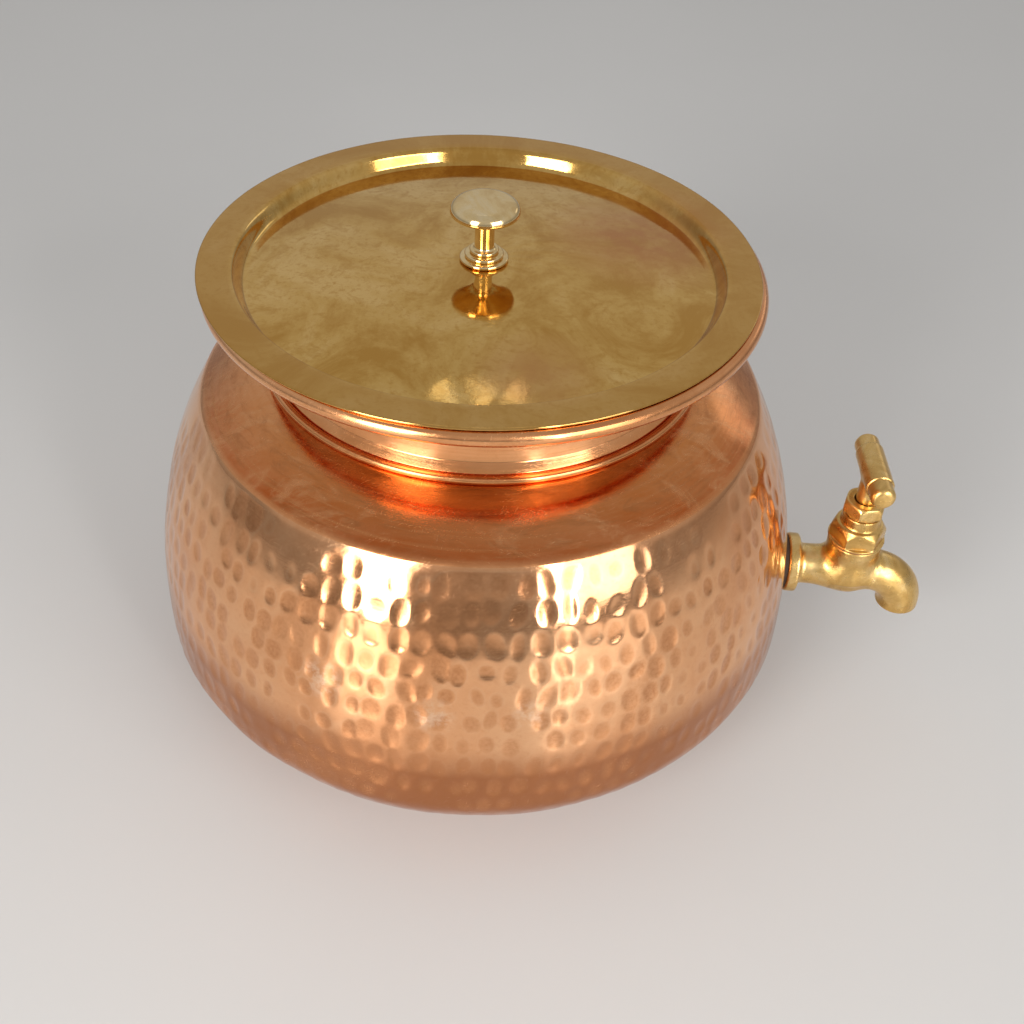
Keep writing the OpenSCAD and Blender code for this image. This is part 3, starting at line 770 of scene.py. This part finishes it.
curve = np.array(shoulder_curve(30))
under = [tuple(p) for p in curve + SHEET * normals(curve) if p[0] > MOUTH_R + 0.1]
lap_foot = CREASE_Z - LAP_DEPTH
lap_out = [(outer_r(z) - SHEET / LAP_LEAN, z) for z in np.linspace(lap_foot, CREASE_Z - 0.4, 5)]
lap_in = [(outer_r(z) - 2 * SHEET / LAP_LEAN, z) for z in np.linspace(CREASE_Z - 1.2, lap_foot, 5)]
path = (
    lap_out
    + crease_arc(1)
    + shoulder_curve()[4:]
    + [(MOUTH_R, NECK_Z), (MOUTH_R, NECK_Z - SHEET)]
    + under[:0:-1]
    + lap_in
)
v, f = lathe(path, SPUN_COLUMNS, field=wobble(0.10, 3))
make("shoulder_spun", v, f, "pot", "shoulder", SPUN, 35)


def off_roll(points):
    """The points of a path that are outside the rolled rim."""
    return [tuple(p) for p in points if math.hypot(p[0] - ROLL_C, p[1] - RIM_Z) > ROLL_R]


def round_roll(point):
    """The angle in degrees, from 0 to 360, at which a point lies round the roll."""
    return math.degrees(math.atan2(point[1] - RIM_Z, point[0] - ROLL_C)) % 360


flare = np.array(
    [
        (WAIST_R + (ROLL_IN + SHEET - WAIST_R) * q**FLARE_POWER, WAIST_Z + (RIM_Z - WAIST_Z) * q)
        for q in np.linspace(0, 1, 60)
    ]
)
outer_face, inner_face = off_roll(flare), off_roll(flare + SHEET * normals(flare))
step = [(NECK_R, NECK_Z + FOOT_H), (NECK_R - STEP_IN, NECK_Z + STEP_H)]
inner_step = [(NECK_R - STEP_IN - 1.1, NECK_Z + STEP_H - 0.5), (MOUTH_R, NECK_Z + FOOT_H - 0.5)]
path = (
    [(MOUTH_R, NECK_Z + NECK_GAP), (BEAD_C - 1.2, NECK_Z + NECK_GAP)]
    + arc(BEAD_C, NECK_Z + BEAD_R + NECK_GAP, BEAD_R, -110, 160, 24)
    + rounded([(NECK_R + 0.05, NECK_Z + 2.0)] + step + [outer_face[0]], [0, 1.0, 1.2, 0])
    + outer_face[1:]
    + arc(ROLL_C, RIM_Z, ROLL_R, round_roll(outer_face[-1]) + 3, 357 + round_roll(inner_face[-1]), 40)
    + inner_face[::-1]
    + inner_step
)
v, f = lathe(path, NECK_COLUMNS)
make("neck_rolled", v, f, "pot", "neck_collar", SPUN, 35)

pan_z = LID_T - PAN_DEPTH
dome = [(q * PAN_FLOOR_R, pan_z + DOME_RISE * (1 - q * q)) for q in np.linspace(0.04, 1, 40)]
pan_wall = [
    (PAN_FLOOR_R + PAN_RUN * q, pan_z + PAN_DEPTH * q * q * (3 - 2 * q))
    for q in np.linspace(0, 1, 26)[1:]
]
sheet = np.array(dome + pan_wall + [(PAN_FLOOR_R + PAN_RUN + 4.5, LID_T), (LID_R - 1.5, LID_T)])
below = sheet - LID_T * normals(sheet)
edge = arc(LID_R - LID_T / 2, LID_T / 2, LID_T / 2, 90, -90, 8)
path = [(r, z + LID_Z) for r, z in [*sheet, *edge, *below[::-1]]]
v, f = lathe(path, SPUN_COLUMNS, LID_XY, field=wobble(0.05, 8))
make("lid_spun", v, f, "lid", "lid", LID, 35)

# Three foot rings, a stem that widens, and a cap with a soft edge and a slightly crowned top
bead = KNOB_RING_H / 2
stem = [(KNOB_STEM_R + 0.65, 5.55), (KNOB_STEM_R, 6.2), (KNOB_STEM_R, 17.4)]
under_cap = [(5.6, 18.6), (8.5, 19.6), (13.0, 20.9)]
profile = (
    [(0.0, 0.0)]
    + arc(KNOB_FOOT_R - bead, bead, bead, -90, 84, 12)
    + arc(KNOB_FOOT_R - 2.07 - bead, 3 * bead, bead, -84, 84, 12)
    + arc(KNOB_FOOT_R - 4.13 - bead, 5 * bead, bead, -84, 70, 12)
    + rounded(stem + under_cap, [0, 1, 3, 1.5, 2, 0], 8)
    + arc(13.2, 22.2, 1.3, -80, 0, 10)
    + arc(CAP_FLAT_R, CAP_EDGE_Z, CAP_EDGE_R, 0, 88.4, 40)
    + [(r, CAP_TOP - CAP_CROWN * (r / CAP_FLAT_R) ** 2) for r in np.linspace(10.0, 0.5, 20)]
    + [(0.0, CAP_TOP)]
)
foot_z = LID_Z + pan_z + DOME_RISE
profile = [(r, z + foot_z) for r, z in profile]
v, f = lathe(profile, KNOB_COLUMNS, LID_XY + np.array([KNOB_SHIFT, 0]))
make("knob_turned", v, f, "lid", "knob", KNOB, 35)


# Cast tap parts from distance fields, which are below 0 inside
def smin(a, b, k):
    """Where a or b is inside, with a fillet about k wide between them."""
    h = np.maximum(k - np.abs(a - b), 0) / k
    return np.minimum(a, b) - h * h * k / 4


def smax(a, b, k):
    """Where both a and b are inside, with the edge between them softened over k."""
    return -smin(-a, -b, k)


def slab(x, lo, hi):
    """Inside where x is between lo and hi."""
    return np.maximum(lo - x, x - hi)


def rounded_and(a, b, r):
    """Where both a and b are inside, with its edge rounded to radius r."""
    u, w = a + r, b + r
    return np.minimum(np.maximum(u, w), 0) + np.hypot(np.maximum(u, 0), np.maximum(w, 0)) - r


def thread(along, angle, pitch, groove):
    """How deep a thread's groove is at a distance along its axis and an angle round it."""
    return groove * (0.5 + 0.5 * np.cos(2 * math.pi * along / pitch - angle))


def nets(field, lo, hi, h):
    """A closed quad mesh of field = 0 by surface nets with cells h wide, its points on the surface."""
    axes = [np.arange(a - h, b + 1.5 * h, h) for a, b in zip(lo, hi)]
    g = np.meshgrid(*axes, indexing="ij")
    d = field(*g)
    n = np.array(d.shape) - 1
    s = d < 0

    def part(a, o):
        return a[o[0] : o[0] + n[0], o[1] : o[1] + n[1], o[2] : o[2] + n[2]]

    # Each cell that the surface passes through gets one point, the mean of where it cuts the cell's edges
    corners = list(itertools.product((0, 1), repeat=3))
    count = sum(part(s, o).astype(np.int8) for o in corners)
    live = (count > 0) & (count < 8)
    cells = np.argwhere(live)
    index = np.full(live.shape, -1)
    index[live] = np.arange(len(cells))
    total, hits = np.zeros((len(cells), 3)), np.zeros(len(cells))
    for axis in range(3):
        for o in corners:
            if o[axis]:
                continue
            e = list(o)
            e[axis] = 1
            fa, fb = part(d, o)[live], part(d, e)[live]
            cross = (fa < 0) != (fb < 0)
            t = np.where(cross, fa / np.where(cross, fa - fb, 1), 0)
            p = np.tile(np.array(o, float), (len(cells), 1))
            p[:, axis] = t
            total += p * cross[:, None]
            hits += cross
    p = (cells + total / hits[:, None]) * h + np.array([a[0] for a in axes])

    # Each grid edge that the surface cuts gets one quad, from the points of the four cells round it
    faces = []
    for axis in range(3):
        u, w = (axis + 1) % 3, (axis + 2) % 3
        a = np.moveaxis(s, axis, 0)
        cross = np.argwhere(np.moveaxis(a[:-1] != a[1:], 0, axis))
        cu, cw = cross[:, u], cross[:, w]
        cross = cross[(cu > 0) & (cw > 0) & (cu < n[u]) & (cw < n[w])]
        first = s[tuple(cross.T)]
        ids = []
        for du, dw in ((0, 0), (1, 0), (1, 1), (0, 1)):
            c = cross.copy()
            c[:, u] -= du
            c[:, w] -= dw
            ids.append(index[tuple(c.T)])
        q = np.stack(ids, 1)
        q[~first] = q[~first][:, ::-1]
        faces.append(q)

    # The points then move along the field's slope onto the surface
    e = 0.02
    for _ in range(4):
        x, y, z = p.T
        f = field(x, y, z)
        grad = np.stack(
            [
                field(x + e, y, z) - field(x - e, y, z),
                field(x, y + e, z) - field(x, y - e, z),
                field(x, y, z + e) - field(x, y, z - e),
            ],
            1,
        ) / (2 * e)
        size = np.maximum((grad**2).sum(1), 0.25)
        move = -np.clip(f, -h, h)[:, None] * grad / size[:, None]
        p += move * 0.9
    return p, np.concatenate(faces).tolist()


def to_pot(p):
    """From the tap's frame (along, across, up from its axis) to the pot's, in millimetres."""
    c, s = math.cos(TURN), math.sin(TURN)
    return np.stack([p[:, 0] * c - p[:, 1] * s, p[:, 0] * s + p[:, 1] * c, p[:, 2] + TAP_Z], 1)


SWELL_U = np.linspace(-1, 1, 41)
SWELL_X = np.where(SWELL_U < 0, STEM_X + SWELL_U * SWELL_BACK, STEM_X + SWELL_U * SWELL_FRONT)
SWELL_BULGE = np.where(SWELL_U < 0, 2.5, 2.1) * (1 + np.cos(math.pi * SWELL_U)) / 2
SWELL_R = np.where(SWELL_U < 0, PIPE_R, SPOUT_R) + SWELL_BULGE


def tap_field(x, y, z):
    """The tap's casting, in its own frame as in to_pot."""
    r = np.sqrt(y * y + z * z)
    rs = np.hypot(x - STEM_X, y)
    ro = np.hypot(x - OUTLET_X, y)
    bx, bz = x - BEND_X, z + BEND_R
    foot = FLANGE_X - SHANK_L
    lip = -BEND_R - SPOUT_LIP
    groove = thread(x, np.arctan2(z, y), SHANK_PITCH, SHANK_GROOVE) * (x < FLANGE_X - 1.5)
    shank = smax(r - SHANK_R + groove, slab(x, foot, FLANGE_X + 1), 0.8)
    flange = smax(r - FLANGE_R, slab(x, FLANGE_X, PIPE_X), 1.6)
    pipe = smax(r - np.interp(x, SWELL_X, SWELL_R), slab(x, FLANGE_X + 1, BEND_X + 0.6), 0.3)
    boss = smax(rs - np.interp(z, *BOSS_SHAPE), slab(z, 0, BOSS_TOP), 0.9)
    ring = np.sqrt((np.hypot(bx, bz) - BEND_R) ** 2 + y * y) - SPOUT_R
    bend = np.maximum(ring, np.maximum(-bx - 0.6, -bz - 0.3))
    end = smax(ro - SPOUT_R, slab(z, lip, -BEND_R + 0.3), 0.7)
    casting_line = 0.22 * np.exp(-(((x - BEND_X - 0.2) / 0.45) ** 2)) * (z > -9)
    out = smin(shank, flange, 0.1)
    out = smin(out, pipe, 3.0)
    out = smin(out, np.minimum(bend, end) + casting_line, 0.3)
    out = smin(out, boss, 4.5)
    out = np.maximum(out, np.where(np.abs(x - STEM_X) < 16, z - BOSS_TOP, -9))
    out = np.maximum(out, foot - x)

    # The waterway: in from the pot, down under the seat, up through it and down the slant to the mouth
    way = np.maximum(r - WAY_R, x - (STEM_X - 11.2))
    low = np.maximum(np.hypot(y, z + SEAT_BORE) - SEAT_BORE, slab(x, STEM_X - 15.7, STEM_X + 2))
    seat = np.maximum(rs - SEAT_BORE, slab(z, -SEAT_BORE, 4))
    chamber = np.maximum(rs - CHAMBER_R, CHAMBER_Z - z)
    socket = np.maximum(rs - SOCKET_R, SOCKET_Z - z)
    sx, sz = STEM_X + SLANT_TOP[0], SLANT_TOP[1]
    dx, dz = BEND_X + SLANT_END[0] - sx, SLANT_END[1] - sz
    length = math.hypot(dx, dz)
    along = ((x - sx) * dx + (z - sz) * dz) / length
    off = ((x - sx) * dz - (z - sz) * dx) / length
    slant = np.maximum(np.hypot(y, off) - SLANT_R, slab(along, 0, length))
    curve = np.maximum(ring + 4.2, np.maximum(-bx, -bz))
    mouth = np.maximum(ro - MOUTH_BORE, slab(z, -99, lip + MOUTH_H))
    hollow = way
    for other in (low, seat, chamber, socket, slant, curve, mouth):
        hollow = np.minimum(hollow, other)
    return smax(out, -hollow, 0.4)


def hexagon(x, y, z, across, turn, lo, hi, run, rise):
    """A hexagon from lo to hi. Its top corners are cut back over run and rise, and its edges are soft."""
    flat = across / 2 * math.cos(math.pi / 6)
    d = None
    for k in range(3):
        a = turn + math.radians(30 + 60 * k)
        e = np.abs(x * math.cos(a) + y * math.sin(a)) - flat
        d = e if d is None else smax(d, e, 0.7)
    r = np.hypot(x, y)
    cone = ((r - across / 2) * rise + (z - (hi - rise)) * run) / math.hypot(run, rise)
    d = smax(d, cone, 0.7)
    return smax(d, slab(z, lo, hi), 0.5)


def bonnet_field(x, y, z):
    """Headworks: a plug in the boss, a rim, a hexagon and a collar, bored for spindle and packing."""
    x = x - STEM_X
    r = np.hypot(x, y)
    plug = np.maximum(r - PLUG_R, slab(z, SOCKET_Z, 20.5))
    rim = smax(r - BONNET_RIM, slab(z, 20.1, 21.2), 0.5)
    nut = hexagon(x, y, z, BONNET_NUT, 0, *BONNET_NUT_Z, 2.6, 3.4)
    collar = smax(r - np.interp(z, *COLLAR_SHAPE), slab(z, COLLAR_FOOT, BONNET_TOP), 0.7)
    d = np.minimum(plug, smin(rim, nut, 0.5))
    d = smin(d, collar, 1.2)
    threaded = np.maximum(r - THREAD_BORE, slab(z, 0, 99))
    packed = np.maximum(r - PACKING_BORE, slab(z, PACKING_Z, 99))
    return smax(d, -np.minimum(threaded, packed), 0.3)


def gland_field(x, y, z):
    """Gland nut: a sleeve in the packing's box, a foot and a small hexagon."""
    x = x - STEM_X
    r = np.hypot(x, y)
    sleeve = np.maximum(r - GLAND_R, slab(z, *GLAND_Z))
    foot = smax(r - GLAND_FOOT_R, slab(z, 35.8, 37.5), 0.6)
    nut = hexagon(x, y, z, GLAND_NUT, GLAND_TURN, *GLAND_NUT_Z, 1.6, 2.0)
    d = np.minimum(sleeve, smin(foot, nut, 0.5))
    return smax(d, -(r - GLAND_BORE), 0.4)


def spindle_field(x, y, z):
    """Spindle and T bar: a screw with the jumper's hole, a stem, and a bar stepped down to round ends."""
    x = x - STEM_X
    r = np.hypot(x, y)
    groove = thread(z, np.arctan2(y, x), SCREW_PITCH, SCREW_GROOVE) * (z < 20)
    screw = smax(r - SCREW_R + groove, slab(z, *SCREW_Z), 0.7)
    stem = np.maximum(r - STEM_R, slab(z, 18, BAR_Z))
    along = x * math.cos(BAR_TURN) + y * math.sin(BAR_TURN)
    aside = -x * math.sin(BAR_TURN) + y * math.cos(BAR_TURN)
    rb = np.hypot(aside, z - BAR_Z)
    ends = rounded_and(rb - BAR_END_R, np.abs(along) + 0.01 * rb**2 - BAR_HALF, 2.6)
    middle = smax(rb - BAR_R, slab(along, -BAR_MID, BAR_MID), 0.45)
    bar = smin(ends, middle, 0.25)
    d = smin(np.minimum(screw, stem), bar, 2.2)
    return smax(d, -np.maximum(r - JUMPER_BORE, slab(z, 0, JUMPER_BORE_Z)), 0.3)


# Field, its box as (from, to) along the tap, half its width, (from, to) upwards, cell, body and CAD node
CASTINGS = {
    "tap_cast": (
        tap_field, (FLANGE_X - SHANK_L, OUTLET_X + 10.4), 14.5, (-BEND_R - SPOUT_LIP, BOSS_TOP),
        FINE, "pot", "tap_body",
    ),
    "bonnet_cast": (
        bonnet_field, (STEM_X - 13.5, STEM_X + 13.5), 13.5, (SOCKET_Z, BONNET_TOP),
        FINE * 0.85, "pot", "bonnet",
    ),
    "gland_cast": (
        gland_field, (STEM_X - 10.5, STEM_X + 10.5), 10.5, (GLAND_Z[0], GLAND_NUT_Z[1]),
        FINE * 0.85, "pot", "gland_nut",
    ),
    "t_handle_cast": (
        spindle_field, (STEM_X - 22.5, STEM_X + 22.5), 22.5, (SCREW_Z[0], BAR_TOP),
        FINE, "spindle", "spindle_handle",
    ),
}
for name, (field, (x0, x1), half, (z0, z1), cell, body, node) in CASTINGS.items():
    v, f = nets(field, (x0, -half, z0), (x1, half, z1), cell)
    make(name, to_pot(v), f, body, node, TAP, 50)


# Floor, lights and camera
BEAM = math.radians(60)
AIM = (0, 0, 0.15)
LAMP_TINT = (1, 0.985, 0.96)
# Each light is its name, place and (width, height) in metres, and brightness. They all face AIM
LIGHTS = (
    ("window_left", (-0.82, -1.26, 0.60), (0.55, 1.05), 12.5),
    ("window_right", (0.98, -1.16, 0.62), (0.85, 1.0), 3.4),
    ("window_right_side", (0.70, -1.40, 0.62), (0.13, 1.0), 14.0),
    ("window_right_top", (0.895, -1.06, 1.05), (0.85, 0.13), 6.0),
    ("side_right", (1.2, 1.05, 0.70), (0.5, 0.28), 0.6),
    ("ceiling_1", (-0.104, 1.05, 1.56), (0.056, 0.09), 0.75),
    ("ceiling_2", (0.0, 1.05, 1.56), (0.056, 0.09), 0.75),
    ("ceiling_3", (0.104, 1.05, 1.56), (0.056, 0.09), 0.75),
)
# The room's brightness as (sine of the angle above the horizon, level)
ROOM = ((0.03, 0.28), (0.26, 0.45), (0.5, 0.50), (0.95, 0.46))
ROOM_TINT = (1, 0.985, 0.965)
# The photograph's camera: place in metres, angles in degrees, focal length in pixels of a 1024 px frame
CAMERA_PLACE = (0.0, -0.4766, 0.50435)
CAMERA_ANGLES = (48.8767, -2.298, 0.0498)
FOCAL_PX = 1300


def floor(radius, centre_y):
    """A round pale floor with a soft sheen."""
    me = bpy.data.meshes.new("floor")
    t = np.arange(96) * 2 * math.pi / 96
    ring = [(radius * math.cos(a), radius * math.sin(a) + centre_y, 0.0) for a in t]
    me.from_pydata(ring, [], [list(range(96))])
    ob = bpy.data.objects.new("floor", me)
    bpy.context.scene.collection.objects.link(ob)
    n = Nodes("floor")
    col = n.ramp(n.noise(3, 4, 0.5), (0.3, (0.67, 0.665, 0.66)), (0.7, (0.69, 0.685, 0.68)))
    # The copper mirrors the floor's sheen, but the camera sees it dull, so that no window glares in it
    seen = n.t.nodes.new("ShaderNodeLightPath").outputs["Is Camera Ray"]
    sheen = n.range(n.noise(8, 3, 0.5), 0.3, 0.7, 0.29, 0.33)
    n.done(col, n.plus(sheen, n.times(seen, 0.45)), 0.0)
    me.materials.append(n.mat)


def softbox(name, place, size, radiance):
    """A rectangular soft light that faces the pot; radiance is how bright its face looks from there.
    Its beam fades to nothing at BEAM off its axis, so the floor beside it glares less."""
    light = bpy.data.lights.new(name, "AREA")
    light.shape = "RECTANGLE"
    light.size, light.size_y = size
    light.spread = 2 * BEAM
    gain = math.tan(BEAM) / (math.tan(BEAM) - BEAM)
    light.energy = radiance * math.pi * size[0] * size[1] / gain
    light.color = LAMP_TINT
    ob = bpy.data.objects.new(name, light)
    bpy.context.scene.collection.objects.link(ob)
    ob.location = place
    ob.rotation_mode = "QUATERNION"
    ob.rotation_quaternion = (Vector(AIM) - Vector(place)).to_track_quat("-Z", "Y")
    ob.visible_camera = False


def room():
    """A plain grey world that grows paler upwards."""
    world = bpy.data.worlds.new("studio")
    bpy.context.scene.world = world
    world.use_nodes = True
    w = world.node_tree
    split = w.nodes.new("ShaderNodeSeparateXYZ")
    w.links.new(w.nodes.new("ShaderNodeTexCoord").outputs["Generated"], split.inputs[0])
    ramp = w.nodes.new("ShaderNodeValToRGB")
    steps = ramp.color_ramp.elements
    while len(steps) < len(ROOM):
        steps.new(0.5)
    for step, (at, level) in zip(steps, ROOM):
        step.position = at
        step.color = (*(level * tint for tint in ROOM_TINT), 1)
    w.links.new(split.outputs["Z"], ramp.inputs[0])
    w.links.new(ramp.outputs[0], w.nodes["Background"].inputs["Color"])


floor(3.0, 0.4)
for light in LIGHTS:
    softbox(*light)
room()

cam_data = bpy.data.cameras.new("camera")
cam = bpy.data.objects.new("camera", cam_data)
bpy.context.scene.collection.objects.link(cam)
turned = Euler([math.radians(a) for a in CAMERA_ANGLES], "XYZ").to_matrix().to_4x4()
cam.matrix_world = Matrix.Translation(CAMERA_PLACE) @ turned
cam_data.sensor_width = 36
cam_data.lens = 36 * FOCAL_PX / 1024
cam_data.clip_start, cam_data.clip_end = 0.01, 50
bpy.context.scene.camera = cam
bpy.context.scene.view_settings.view_transform = "Standard"
